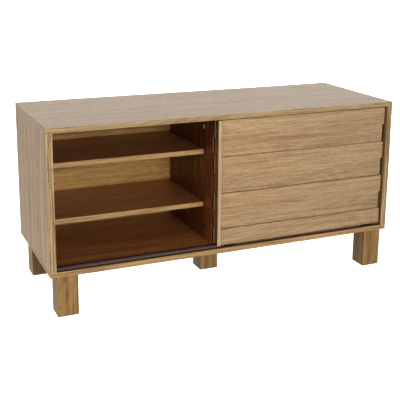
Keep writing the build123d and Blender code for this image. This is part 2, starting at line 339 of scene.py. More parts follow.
class Maker(Graph):
    """A Geometry Nodes tree under construction, with named inputs for its sizes."""

    def __init__(self, name: str) -> None:
        """Starts a tree that takes points and gives a mesh.

        Args:
            name: The tree's name.
        """
        super().__init__(bpy.data.node_groups.new(name, "GeometryNodeTree"))
        self.values: dict[str, Value] = {}
        geometry = "NodeSocketGeometry"
        self.tree.interface.new_socket("Geometry", in_out="INPUT", socket_type=geometry)
        self.tree.interface.new_socket("Geometry", in_out="OUTPUT", socket_type=geometry)
        self.source = self.node("NodeGroupInput")
        self.result = self.node("NodeGroupOutput")

    def size(self, name: str, value: float | int | bpy.types.Material) -> bpy.types.NodeSocket:
        """Adds a named input.

        Args:
            name: The input's name.
            value: The value that this piece has.

        Returns:
            The socket that gives the input inside the tree.
        """
        kinds = {int: "NodeSocketInt", float: "NodeSocketFloat"}
        kind = kinds.get(type(value), "NodeSocketMaterial")
        item = self.tree.interface.new_socket(name, in_out="INPUT", socket_type=kind)
        self.values[item.identifier] = value
        return self.source.outputs[name]

    def cube(self, size: Value, at: Value) -> bpy.types.NodeSocket:
        """A block, moved to its place.

        Args:
            size: Its three edge lengths.
            at: The place of its middle.

        Returns:
            The block.
        """
        block = self.node("GeometryNodeMeshCube", {"Size": size}).outputs[0]
        inputs = {"Geometry": block, "Translation": at}
        return self.node("GeometryNodeTransform", inputs).outputs[0]

    def cut(self, body: Value, *tools: Value) -> bpy.types.NodeSocket:
        """A shape with other shapes cut out of it.

        Args:
            body: The shape that is cut.
            *tools: The shapes that are taken away.

        Returns:
            What is left.
        """
        made = self.node("GeometryNodeMeshBoolean", operation="DIFFERENCE", solver="EXACT")
        self.feed(made.inputs[0], body)
        for tool in tools:
            self.feed(made.inputs[1], tool)
        return made.outputs[0]

    def crossed(self, body: Value, arm: Value, width: Value,
                sink: Value) -> bpy.types.NodeSocket:
        """A shape with a cross recess cut into its top at the origin.

        Args:
            body: The shape that is cut.
            arm: The length of one arm of the cross, from its middle.
            width: The width of an arm.
            sink: The depth of the recess.

        Returns:
            What is left.
        """
        reach = self.math("MULTIPLY", arm, 2.0)
        tall = self.math("MULTIPLY", sink, 2.0)
        slots = [self.cube(self.vector(*size), (0.0, 0.0, 0.0))
                 for size in ((reach, width, tall), (width, reach, tall))]
        return self.cut(body, *slots)

    def join(self, *shapes: Value) -> bpy.types.NodeSocket:
        """Several shapes as one geometry.

        Args:
            *shapes: The shapes.

        Returns:
            All of them together.
        """
        made = self.node("GeometryNodeJoinGeometry")
        for shape in shapes:
            self.feed(made.inputs[0], shape)
        return made.outputs[0]

    def pick(self, index: Value, choices: Sequence[Value]) -> bpy.types.NodeSocket:
        """The choice that an index points at.

        Args:
            index: The place of the choice, from 0.
            choices: The values to choose from.

        Returns:
            The chosen value.
        """
        made = self.node("GeometryNodeIndexSwitch", data_type="FLOAT")
        while len(made.index_switch_items) < len(choices):
            made.index_switch_items.new()
        self.feed(made.inputs[0], index)
        for place, choice in enumerate(choices):
            self.feed(made.inputs[place + 1], choice)
        return made.outputs[0]

    def turned(self, rings: Sequence[tuple[Value, Value]], facets: int) -> bpy.types.NodeSocket:
        """A shape turned on a lathe about Z.

        Args:
            rings: The height and the radius of each ring, from the foot up.
            facets: How many sides a ring has.

        Returns:
            The closed shape.
        """
        index = self.node("GeometryNodeInputIndex").outputs[0]
        line = self.node("GeometryNodeMeshLine", {"Count": len(rings)}).outputs[0]
        heights = self.pick(index, [height for height, _ in rings])
        inputs = {"Geometry": line, "Position": self.vector(0.0, 0.0, heights)}
        raised = self.node("GeometryNodeSetPosition", inputs).outputs[0]
        axis = self.node("GeometryNodeMeshToCurve", {"Mesh": raised}).outputs[0]
        circle = {"Resolution": facets, "Radius": 1.0}
        ring = self.node("GeometryNodeCurvePrimitiveCircle", circle).outputs[0]
        inputs = {
            "Curve": axis,
            "Profile Curve": ring,
            "Scale": self.pick(index, [radius for _, radius in rings]),
            "Fill Caps": True,
        }
        return self.node("GeometryNodeCurveToMesh", inputs).outputs[0]

    def on_points(self, shape: Value) -> bpy.types.NodeSocket:
        """Stands a shape on each input point, turned by the point's own turn.

        Args:
            shape: The shape, standing at the origin.

        Returns:
            One instance of the shape for each point.
        """
        turn = self.node("GeometryNodeInputNamedAttribute", {"Name": "turn"},
                         data_type="FLOAT_VECTOR").outputs[0]
        rotation = self.node("FunctionNodeEulerToRotation", {0: turn}).outputs[0]
        inputs = {"Points": self.source.outputs[0], "Instance": shape, "Rotation": rotation}
        return self.node("GeometryNodeInstanceOnPoints", inputs).outputs[0]

    def finish(self, shape: Value, material: Value) -> None:
        """Ends the tree in Realize Instances and Set Material.

        Args:
            shape: The finished shape or its instances.
            material: Its material.
        """
        real = self.node("GeometryNodeRealizeInstances", {0: shape}).outputs[0]
        inputs = {"Geometry": real, "Material": material}
        made = self.node("GeometryNodeSetMaterial", inputs).outputs[0]
        self.feed(self.result.inputs[0], made)

    def grow(self, name: str, seed: bpy.types.Mesh, bevel: float = 0.0) -> bpy.types.Object:
        """Runs the tree on a mesh and keeps the result as a plain mesh.

        Args:
            name: The finished piece's name.
            seed: The points that the tree starts from.
            bevel: How far the edges are rounded, in metres.

        Returns:
            The finished piece, with no modifier on it.
        """
        piece = new_object(name, seed)
        modifier = piece.modifiers.new("shape", "NODES")
        modifier.node_group = self.tree
        for identifier, value in self.values.items():
            modifier[identifier] = value
        if bevel:
            rounding = piece.modifiers.new("edges", "BEVEL")
            rounding.width = bevel
            rounding.segments = BEVEL_SEGMENTS
            rounding.limit_method = "ANGLE"
        graph = bpy.context.evaluated_depsgraph_get()
        made = bpy.data.meshes.new_from_object(piece.evaluated_get(graph), depsgraph=graph)
        piece.modifiers.clear()
        piece.data = made
        made.name = name
        shell = bmesh.new()
        shell.from_mesh(made)
        bmesh.ops.remove_doubles(shell, verts=shell.verts, dist=PIECE_WELD)
        bmesh.ops.recalc_face_normals(shell, faces=shell.faces)
        for face in shell.faces:
            face.smooth = True
        for edge in shell.edges:
            edge.smooth = edge.calc_face_angle(math.pi) < SMOOTH_ANGLE
        shell.to_mesh(made)
        shell.free()
        return piece


def point_cloud(places: Sequence[tuple[Vector, Euler]]) -> bpy.types.Mesh:
    """Points that each hold the turn of the piece that stands on them.

    Args:
        places: Each piece's place and turn.

    Returns:
        A mesh of loose points.
    """
    cloud = bpy.data.meshes.new("places")
    cloud.from_pydata([tuple(place) for place, _ in places], [], [])
    turns = cloud.attributes.new("turn", "FLOAT_VECTOR", "POINT")
    for item, (_, turn) in zip(turns.data, places):
        item.vector = tuple(turn)
    return cloud


# ---------------------------------------------------------------- finishes


class Grain(Enum):
    """The way the grain runs on a board's faces."""

    LENGTHWISE = "along x"
    UPRIGHT = "along z"


@dataclass(frozen=True)
class Oak:
    """Satin oak foil: soft bands, fine streaks, growth lines and open pores.

    The edge colour multiplies the foil's own on a board's narrow faces. Band, streak, fine and
    line say how strongly each figure moves the tone. The grains are counts to the metre, along
    and across the board.
    """

    name: str
    pale: Colour
    mid: Colour
    dark: Colour
    edge: Colour | None = None
    pore: Colour = (0.13, 0.07, 0.032)
    band: float = 0.3
    streak: float = 1.2
    fine: float = 0.7
    line: float = 0.06
    pore_share: float = 0.5
    roughness: float = 0.34
    ior: float = 1.8
    band_grains: tuple[float, float] = (1.1, 24.0)
    streak_grains: tuple[float, float] = (4.0, 190.0)
    fibre_grains: tuple[float, float] = (14.0, 620.0)
    line_grains: tuple[float, float] = (1.1, 6.0)
    line_waves: float = 210.0
    pore_grains: tuple[float, float] = (60.0, 900.0)
    pore_onset: tuple[float, float] = (0.56, 0.7)
    pore_roughness: float = 0.2
    pore_sink: float = 0.7
    dark_tone: float = 0.2
    pale_tone: float = 0.8
    wear_width: float = 0.0014
    wear_grains: tuple[float, float] = (40.0, 40.0)
    wear_share: float = 0.5
    relief: float = 0.00012
    relief_strength: float = 0.35

    def material(self, label: str, grain: Grain, board: float | None, box: Span | None,
                 rear: "Hardboard | None" = None) -> bpy.types.Material:
        """Makes the finish for one piece.

        Args:
            label: The piece's name.
            grain: The way the grain runs.
            board: A number that sets this board's figure, or None for the mesh's own.
            box: The board's box, for the wear along its edges, or None for no wear.
            rear: The bare board that shows on faces towards the back, if any.

        Returns:
            The material.
        """
        shader = Shader(f"{self.name}_{label}")
        along, across, depth = self._grain_axes(shader, grain)
        if board is None:
            board = shader.node("ShaderNodeAttribute", attribute_name="board").outputs["Fac"]
        along = shader.math("MULTIPLY_ADD", board, FIGURE_ALONG, along)
        across = shader.math("MULTIPLY_ADD", board, FIGURE_ACROSS, across)

        def grains(counts: tuple[float, float], detail: float = 2.0) -> bpy.types.NodeSocket:
            """Noise that follows the grain.

            Args:
                counts: The grains to the metre, along and across the board.
                detail: How much finer noise is laid over it.

            Returns:
                The noise, between 0 and 1.
            """
            return shader.noise(shader.vector(
                shader.math("MULTIPLY", along, counts[0]),
                shader.math("MULTIPLY", across, counts[1]),
                shader.math("MULTIPLY", depth, counts[1])), detail)

        bands = grains(self.band_grains)
        streaks = grains(self.streak_grains)
        fibres = grains(self.fibre_grains)
        field = grains(self.line_grains, 1.0)
        lines = shader.math("SINE", shader.math("MULTIPLY", field, self.line_waves))
        pores = shader.remap(grains(self.pore_grains, 1.0), *self.pore_onset)

        tone = 0.5
        for figure, share in ((bands, self.band), (streaks, self.streak), (fibres, self.fine)):
            tone = shader.math("MULTIPLY_ADD", shader.math("SUBTRACT", figure, 0.5), share, tone)
        tone = shader.math("MULTIPLY_ADD", lines, self.line, tone)
        ramp = shader.node("ShaderNodeValToRGB", {0: tone})
        ramp.color_ramp.elements[0].position = self.dark_tone
        ramp.color_ramp.elements[0].color = (*self.dark, 1.0)
        ramp.color_ramp.elements[1].position = self.pale_tone
        ramp.color_ramp.elements[1].color = (*self.pale, 1.0)
        middle = ramp.color_ramp.elements.new(0.5)
        middle.color = (*self.mid, 1.0)
        colour = shader.tint(shader.math("MULTIPLY", pores, self.pore_share),
                             ramp.outputs[0], self.pore)
        rough = shader.remap(pores, 0.0, 1.0, self.roughness,
                             self.roughness + self.pore_roughness)
        if box is not None:
            worn = shader.math("MULTIPLY", shader.edges(box, self.wear_width),
                               grains(self.wear_grains))
            colour = shader.tint(shader.math("MULTIPLY", worn, self.wear_share), colour,
                                 self.pale)
        # On the inner, divider and strip finishes this multiplier is painted light: it lifts the
        # faces that catch light out of their painted-shade tone.
        if self.edge is not None:
            flat = shader.parts(shader.facing)[0 if grain is Grain.UPRIGHT else 2]
            narrow = shader.math("LESS_THAN", shader.math("ABSOLUTE", flat), LOOKS_ALONG)
            colour = shader.tint(narrow, colour, self.edge, "MULTIPLY")
        if rear is not None:
            behind = shader.math("GREATER_THAN", shader.parts(shader.facing)[1], LOOKS_ALONG)
            colour = shader.tint(behind, colour, rear.colours(shader))
            rough = shader.blend(behind, rough, rear.roughness)
        shader.set(Base_color=colour, Roughness=rough)
        shader.surface.inputs["IOR"].default_value = self.ior
        height = shader.math("MULTIPLY_ADD", pores, -self.pore_sink, fibres)
        shader.bump(height, self.relief, self.relief_strength)
        return shader.material

    def _grain_axes(self, shader: Shader, grain: Grain) -> tuple[Value, Value, Value]:
        """Finds the coordinates that the grain follows.

        Args:
            shader: The material under construction.
            grain: The way the grain runs.

        Returns:
            The coordinates along and across the grain, and into the board.
        """
        x, y, z = shader.parts(shader.place)
        if grain is Grain.UPRIGHT:
            return z, y, x
        sideways = shader.math("ABSOLUTE", shader.parts(shader.facing)[0])
        on_end = shader.math("GREATER_THAN", sideways, LOOKS_ALONG)
        return shader.blend(on_end, x, y), shader.blend(on_end, y, x), z


@dataclass(frozen=True)
class Hardboard:
    """Bare pressed fibreboard: matt brown with short matted fibres."""

    name: str = "hardboard"
    light: Colour = (0.36, 0.23, 0.125)
    deep: Colour = (0.23, 0.14, 0.072)
    roughness: float = 0.8
    fibre_grains: Scales = (420.0, 420.0, 420.0)
    cloud_grains: Scales = (14.0, 14.0, 14.0)
    cloud_share: float = 0.15

    def colours(self, shader: Shader) -> bpy.types.NodeSocket:
        """Mixes the colour of the fibres.

        Args:
            shader: The material under construction.

        Returns:
            The colour.
        """
        fibres = shader.noise(shader.scaled(*self.fibre_grains), 3.0, 0.7)
        clouds = shader.noise(shader.scaled(*self.cloud_grains), 2.0)
        tone = shader.blend(self.cloud_share, fibres, clouds)
        return shader.tint(shader.remap(tone, 0.35, 0.65), self.deep, self.light)


@dataclass(frozen=True)
class Beech:
    """Planed beech dowel: pale and short-flecked."""

    name: str = "beech"
    light: Colour = (0.58, 0.38, 0.21)
    deep: Colour = (0.42, 0.25, 0.125)
    roughness: float = 0.6
    fleck_grains: Scales = (900.0, 900.0, 90.0)
    relief: float = 0.0001
    relief_strength: float = 0.3

    def material(self) -> bpy.types.Material:
        """Makes the finish.

        Returns:
            The material.
        """
        shader = Shader(self.name)
        flecks = shader.noise(shader.scaled(*self.fleck_grains), 2.0)
        shader.set(Base_color=shader.tint(shader.remap(flecks, 0.35, 0.7), self.light, self.deep),
                   Roughness=self.roughness)
        shader.bump(flecks, self.relief, self.relief_strength)
        return shader.material


@dataclass(frozen=True)
class Rib:
    """The pale rib between a track's two grooves: its middle, half its width, its colour."""

    y: float
    half: float
    colour: Colour


@dataclass(frozen=True)
class Plastic:
    """Extruded or moulded plastic with faint draw lines along x."""

    name: str
    light: Colour
    deep: Colour
    roughness: float
    relief_strength: float = 0.2
    relief: float = 0.00005
    draw_grains: Scales = (6.0, 1400.0, 1400.0)
    scuff_grains: Scales = (70.0, 260.0, 260.0)
    scuff_roughness: float = 0.15
    rib_scuffs: float = 0.5

    def material(self, rib: Rib | None = None) -> bpy.types.Material:
        """Makes the finish.

        Args:
            rib: The paler rib that runs along x, if any.

        Returns:
            The material.
        """
        shader = Shader(self.name if rib is None else f"{self.name}_ribbed")
        draw = shader.noise(shader.scaled(*self.draw_grains), 2.0)
        scuffs = shader.noise(shader.scaled(*self.scuff_grains), 3.0, 0.6)
        tone = shader.blend(0.5, draw, scuffs)
        colour = shader.tint(shader.remap(tone, 0.3, 0.7), self.deep, self.light)
        # Around the rib band the dark track colour is painted groove shade.
        if rib is not None:
            offset = shader.math("SUBTRACT", shader.parts(shader.place)[1], rib.y)
            aside = shader.math("ABSOLUTE", offset)
            pale = shader.tint(shader.math("MULTIPLY", scuffs, self.rib_scuffs), rib.colour,
                               self.light)
            colour = shader.tint(shader.math("LESS_THAN", aside, rib.half), colour, pale)
        shader.set(Base_color=colour,
                   Roughness=shader.remap(scuffs, 0.3, 0.7, self.roughness,
                                          self.roughness + self.scuff_roughness))
        shader.bump(draw, self.relief, self.relief_strength)
        return shader.material


@dataclass(frozen=True)
class Zinc:
    """Zinc: plated and bright on steel, or cast and dull, with a blotchy skin."""

    name: str = "zinc_steel"
    light: Colour = (0.74, 0.74, 0.72)
    deep: Colour = (0.5, 0.5, 0.5)
    metallic: float = 1.0
    roughness: float = 0.28
    cap: Colour = (0.12, 0.058, 0.026)
    blotch_grains: Scales = (240.0, 240.0, 240.0)
    blotch_roughness: float = 0.17
    scratch_grains: Scales = (3000.0, 500.0, 500.0)
    relief: float = 0.00003
    relief_strength: float = 0.25

    def material(self, capped_below: float | None = None) -> bpy.types.Material:
        """Makes the finish.

        Args:
            capped_below: The height below which fittings have brown caps, if any have.

        Returns:
            The material.
        """
        shader = Shader(self.name)
        blotches = shader.noise(shader.scaled(*self.blotch_grains), 3.0, 0.6)
        scratches = shader.noise(shader.scaled(*self.scratch_grains), 1.0)
        colour = shader.tint(shader.remap(blotches, 0.35, 0.65), self.deep, self.light)
        if capped_below is not None:
            capped = shader.math("LESS_THAN", shader.parts(shader.place)[2], capped_below)
            colour = shader.tint(capped, colour, self.cap)
        shader.set(Base_color=colour,
                   Metallic=self.metallic,
                   Roughness=shader.remap(blotches, 0.3, 0.7, self.roughness,
                                          self.roughness + self.blotch_roughness))
        shader.bump(scratches, self.relief, self.relief_strength)
        return shader.material


@dataclass(frozen=True)
class Rubber:
    """Soft matt brown rubber with a faint bloom."""

    name: str = "rubber_buffer"
    light: Colour = (0.2, 0.135, 0.08)
    deep: Colour = (0.13, 0.082, 0.045)
    roughness: float = 0.75
    bloom_grains: Scales = (700.0, 700.0, 700.0)
    relief: float = 0.00006
    relief_strength: float = 0.4

    def material(self) -> bpy.types.Material:
        """Makes the finish.

        Returns:
            The material.
        """
        shader = Shader(self.name)
        bloom = shader.noise(shader.scaled(*self.bloom_grains), 3.0, 0.65)
        shader.set(Base_color=shader.tint(shader.remap(bloom, 0.3, 0.7), self.deep, self.light),
                   Roughness=self.roughness)
        shader.bump(bloom, self.relief, self.relief_strength)
        return shader.material


@dataclass(frozen=True)
class Finishes:
    """Every finish on the stand."""

    board: Oak = Oak("oak_board", (0.445, 0.33, 0.218), (0.37, 0.263, 0.162),
                     (0.26, 0.165, 0.095), edge=(0.87, 0.91, 0.86))
    side: Oak = Oak("oak_side", (0.46, 0.34, 0.21), (0.365, 0.256, 0.147), (0.23, 0.147, 0.077),
                    edge=(0.87, 0.91, 0.9), streak=2.4, fine=1.6)
    # Painted shade: the shelves and the bottom take a redder, more saturated copy of the oak that
    # stands in for the shade inside the bays; its edge multiplier lifts their lit front edges
    # back towards the outer tone.
    inner: Oak = Oak("oak_inner_painted_shade", (0.5, 0.287, 0.157), (0.41, 0.219, 0.108), (0.28, 0.137, 0.063),
                     edge=(0.86, 1.12, 1.16))
    # Painted shade: the divider takes a much darker, redder copy of the oak that stands in for
    # the shade on it inside the bays; its edge multiplier lifts its lit front edge.
    upright: Oak = Oak("oak_upright_painted_shade", (0.32, 0.148, 0.068), (0.19, 0.081, 0.034),
                       (0.08, 0.03, 0.012), edge=(1.1, 1.25, 1.3), streak=2.6, fine=1.8)
    door: Oak = Oak("oak_door", (0.41, 0.312, 0.202), (0.34, 0.246, 0.148),
                    (0.245, 0.162, 0.09), streak=0.85, fine=0.9, line=0.05)
    # Painted shade: the strip's end faces along x keep this dark base as painted shade; the edge
    # multiplier brightens its other faces, the lit front among them.
    strip: Oak = Oak("oak_strip_painted_shade_ends", (0.23, 0.165, 0.105), (0.2, 0.135, 0.078),
                     (0.15, 0.092, 0.047), edge=(2.1, 2.35, 2.65), streak=0.9)
    leg: Oak = Oak("oak_leg", (0.31, 0.21, 0.094), (0.246, 0.158, 0.065), (0.158, 0.092, 0.034),
                   streak=1.8)
    back: Oak = Oak("oak_back", (0.45, 0.325, 0.165), (0.375, 0.26, 0.122),
                    (0.28, 0.18, 0.078), line=0.05)
    hardboard: Hardboard = Hardboard()
    beech: Beech = Beech()
    # Painted shade: the tracks' dark brown stands in for the shade in their grooves; the rib band
    # keeps the track's own pale grey.
    track: Plastic = Plastic("brown_track", (0.08, 0.047, 0.03), (0.045, 0.026, 0.017), 0.4)
    rib: Colour = (0.31, 0.262, 0.245)
    # Painted shade: the runners, guides and glides are near-black so that they read as the dark
    # shade lines at the doors' top and bottom and under the legs.
    nylon: Plastic = Plastic("nylon", (0.04, 0.037, 0.034), (0.022, 0.02, 0.019), 0.5, 0.1)
    zinc: Zinc = Zinc()
    cast: Zinc = Zinc("cast_zinc", (0.86, 0.85, 0.82), (0.7, 0.69, 0.66), 0.3, 0.42)
    rubber: Rubber = Rubber()


# ---------------------------------------------------------------- turned pieces


class Heads(Enum):
    """Which way screws point their heads, seen from the middle of what they hold."""

    INWARD = "towards the middle"
    OUTWARD = "away from the middle"


@dataclass(frozen=True)
class CrossScrew:
    """A countersunk wood screw with a cross recess, its head up and its point down."""

    head_radius: float = 0.003
    head_depth: float = 0.0016
    shank_radius: float = 0.0015
    point_length: float = 0.003
    recess_arm: float = 0.0017
    recess_width: float = 0.0006
    recess_depth: float = 0.0011
    tip_share: float = 0.12
    taper_share: float = 0.92
    rim_share: float = 0.12
    face_share: float = 0.97
    turn_up: float = 0.35
    turn_down: float = 0.2
    facets: int = 24

    def grow(self, name: str, node: str, metal: bpy.types.Material, middle: float,
             heads: Heads) -> bpy.types.Object:
        """Makes every screw of a CAD node.

        Args:
            name: The finished piece's name.
            node: The CAD node that holds the screws.
            metal: Their finish.
            middle: The height halfway between the upper and the lower screws.
            heads: Which way the heads point.

        Returns:
            The finished piece.
        """
        found = solids(node)
        length = found[0].size.z
        places = []
        for span in found:
            upper = span.centre.z > middle
            head_up = upper if heads is Heads.OUTWARD else not upper
            top = span.high.z if head_up else span.low.z
            turn = Euler((0.0, 0.0, self.turn_up))
            if not head_up:
                turn = Euler((math.pi, 0.0, self.turn_down))
            places.append((Vector((span.centre.x, span.centre.y, top)), turn))
        maker = Maker(name)
        head = maker.size("Head Radius", self.head_radius)
        depth = maker.size("Head Depth", self.head_depth)
        shank = maker.size("Shank Radius", self.shank_radius)
        long = maker.size("Length", length)
        point = maker.size("Point Length", self.point_length)
        arm = maker.size("Recess Arm", self.recess_arm)
        width = maker.size("Recess Width", self.recess_width)
        sink = maker.size("Recess Depth", self.recess_depth)
        tip = maker.math("MULTIPLY", long, -1.0)
        rim = maker.math("MULTIPLY", depth, -self.rim_share)
        body = maker.turned([
            (tip, maker.math("MULTIPLY", shank, self.tip_share)),
            (maker.math("ADD", tip, point), maker.math("MULTIPLY", shank, self.taper_share)),
            (maker.math("MULTIPLY", depth, -1.0), shank),
            (rim, head),
            (0.0, maker.math("MULTIPLY", head, self.face_share)),
        ], self.facets)
        crossed = maker.crossed(body, arm, width, sink)
        maker.finish(maker.on_points(crossed), maker.size("Finish", metal))
        return maker.grow(name, point_cloud(places))


# ---------------------------------------------------------------- sub-assemblies


@dataclass
class Carcass:
    """Top, bottom, sides, divider and back panels."""

    finishes: Finishes
    backs: tuple[str, ...] = ("left_back_panel", "right_back_panel")
    first_figure: float = 0.31
    first_back_figure: float = 6.4

    def build(self) -> None:
        """Dresses every board, each with a figure of its own."""
        oak = self.finishes
        for number, (node, finish, grain) in enumerate((
            ("top_panel", oak.board, Grain.LENGTHWISE),
            # the bottom's redder inner tone is painted shade
            ("bottom_panel", oak.inner, Grain.LENGTHWISE),
            ("left_side_panel", oak.side, Grain.UPRIGHT),
            ("right_side_panel", oak.side, Grain.UPRIGHT),
            # the divider's dark tone is painted shade
            ("divider_panel", oak.upright, Grain.UPRIGHT),
        )):
            figure = self.first_figure + number
            dress(node, finish.material(node, grain, figure, Span.of(node)))
        for number, node in enumerate(self.backs):
            figure = self.first_back_figure + number
            dress(node, oak.back.material(node, Grain.LENGTHWISE, figure, None, oak.hardboard))


@dataclass
class Shelving:
    """The three shelves and the collared pins that carry them."""

    finishes: Finishes
    shelves: tuple[str, ...] = ("upper_shelf", "lower_shelf", "right_bay_shelf")
    collar_radius: float = 0.0042
    collar_width: float = 0.0007
    end_round: float = 0.0006
    pin_facets: int = 20
    first_figure: float = 9.6

    def build(self) -> None:
        """Dresses the shelves and makes the pins."""
        for number, node in enumerate(self.shelves):
            figure = self.first_figure + number
            # the shelves' redder inner tone is painted shade
            dress(node, self.finishes.inner.material(node, Grain.LENGTHWISE, figure,
                                                     Span.of(node)))
        install(self.pins(), "carcass", ["shelf_pins"])

    def pins(self) -> bpy.types.Object:
        """Makes the pins, each turned so that its collar lies on the board's face.

        Returns:
            All the pins as one piece.
        """
        found = solids("shelf_pins")
        shelves = [Span.of(node) for node in self.shelves]
        places = []
        for span in found:
            shelf = min(shelves, key=lambda box: box.distance(span.centre))
            way = 1.0 if shelf.centre.x > span.centre.x else -1.0
            places.append((span.centre, Euler((0.0, way * QUARTER_TURN, 0.0))))
        maker = Maker("shelf_pins")
        radius = maker.size("Radius", found[0].size.z / 2)
        half = maker.size("Half Length", found[0].size.x / 2)
        collar = maker.size("Collar Radius", self.collar_radius)
        width = maker.size("Collar Width", self.collar_width)
        ease = maker.size("End Round", self.end_round)
        inner = maker.math("MULTIPLY", half, -1.0)
        slim = maker.math("SUBTRACT", radius, ease)
        step = maker.math("MULTIPLY", ease, ROUND_SHARE)
        near = maker.math("SUBTRACT", radius, step)
        body = maker.turned([
            (inner, slim),
            (maker.math("ADD", inner, step), near),
            (maker.math("ADD", inner, ease), radius),
            (0.0, radius),
            (SHARP_STEP, collar),
            (width, collar),
            (maker.math("ADD", width, SHARP_STEP), radius),
            (maker.math("SUBTRACT", half, ease), radius),
            (maker.math("SUBTRACT", half, step), near),
            (half, slim),
        ], self.pin_facets)
        metal = maker.size("Finish", self.finishes.zinc.material())
        maker.finish(maker.on_points(body), metal)
        return maker.grow("shelf_pins_collared", point_cloud(places))


@dataclass
class Legs:
    """Five square legs, their glides, hanger bolts and insert nuts."""

    finishes: Finishes
    legs: tuple[str, ...] = (
        "front_left_leg", "front_right_leg", "rear_left_leg", "rear_right_leg", "centre_leg")
    glide_thickness: float = 0.002
    glide_round: float = 0.0008
    nail_radius: float = 0.0012
    nail_taper: float = 2.0
    nail_tip: float = 0.15
    facets: int = 32
    first_figure: float = 13.2

    def build(self) -> None:
        """Dresses the legs and makes the glides."""
        for number, node in enumerate(self.legs):
            figure = self.first_figure + number
            dress(node, self.finishes.leg.material(node, Grain.UPRIGHT, figure, Span.of(node)))
        for node in ("leg_hanger_bolts", "leg_insert_nuts"):
            dress(node, self.finishes.zinc.material())
        install(self.glides(), "carcass", ["leg_glides"])

    def glides(self) -> bpy.types.Object:
        """Makes the nailed glides, each a disc with a rounded rim and its nail above.

        Returns:
            All the glides as one piece.
        """
        found = solids("leg_glides")
        places = [(Vector((span.centre.x, span.centre.y, span.low.z)), Euler()) for span in found]
        maker = Maker("leg_glides")
        radius = maker.size("Radius", found[0].size.x / 2)
        thick = maker.size("Thickness", self.glide_thickness)
        ease = maker.size("Rim Round", self.glide_round)
        nail = maker.size("Nail Radius", self.nail_radius)
        high = maker.size("Height", found[0].size.z)
        step = maker.math("MULTIPLY", ease, ROUND_SHARE)
        taper = maker.math("MULTIPLY", nail, self.nail_taper)
        body = maker.turned([
            (0.0, maker.math("SUBTRACT", radius, ease)),
            (step, maker.math("SUBTRACT", radius, step)),
            (ease, radius),
            (thick, radius),
            (maker.math("ADD", thick, SHARP_STEP), nail),
            (maker.math("SUBTRACT", high, taper), nail),
            (high, maker.math("MULTIPLY", nail, self.nail_tip)),
        ], self.facets)
        finish = maker.size("Finish", self.finishes.nylon.material())
        maker.finish(maker.on_points(body), finish)
        return maker.grow("leg_glides_nailed", point_cloud(places))


@dataclass
class Tracks:
    """The double bottom track, the double top track and their screws."""

    finishes: Finishes
    rib_width: float = 0.015
    screw: CrossScrew = CrossScrew()

    def build(self) -> None:
        """Dresses the tracks and makes their screws."""
        plastic = self.finishes.track
        # the dark track colour is painted groove shade; the rib band is the track's own grey
        rib = Rib(Span.of("bottom_track").centre.y, self.rib_width / 2, self.finishes.rib)
        dress("bottom_track", plastic.material(rib))
        dress("top_track", plastic.material())
        middle = (Span.of("bottom_track").centre.z + Span.of("top_track").centre.z) / 2
        screws = self.screw.grow("track_screws_recessed", "track_screws",
                                 self.finishes.zinc.material(), middle, Heads.INWARD)
        install(screws, "carcass", ["track_screws"])


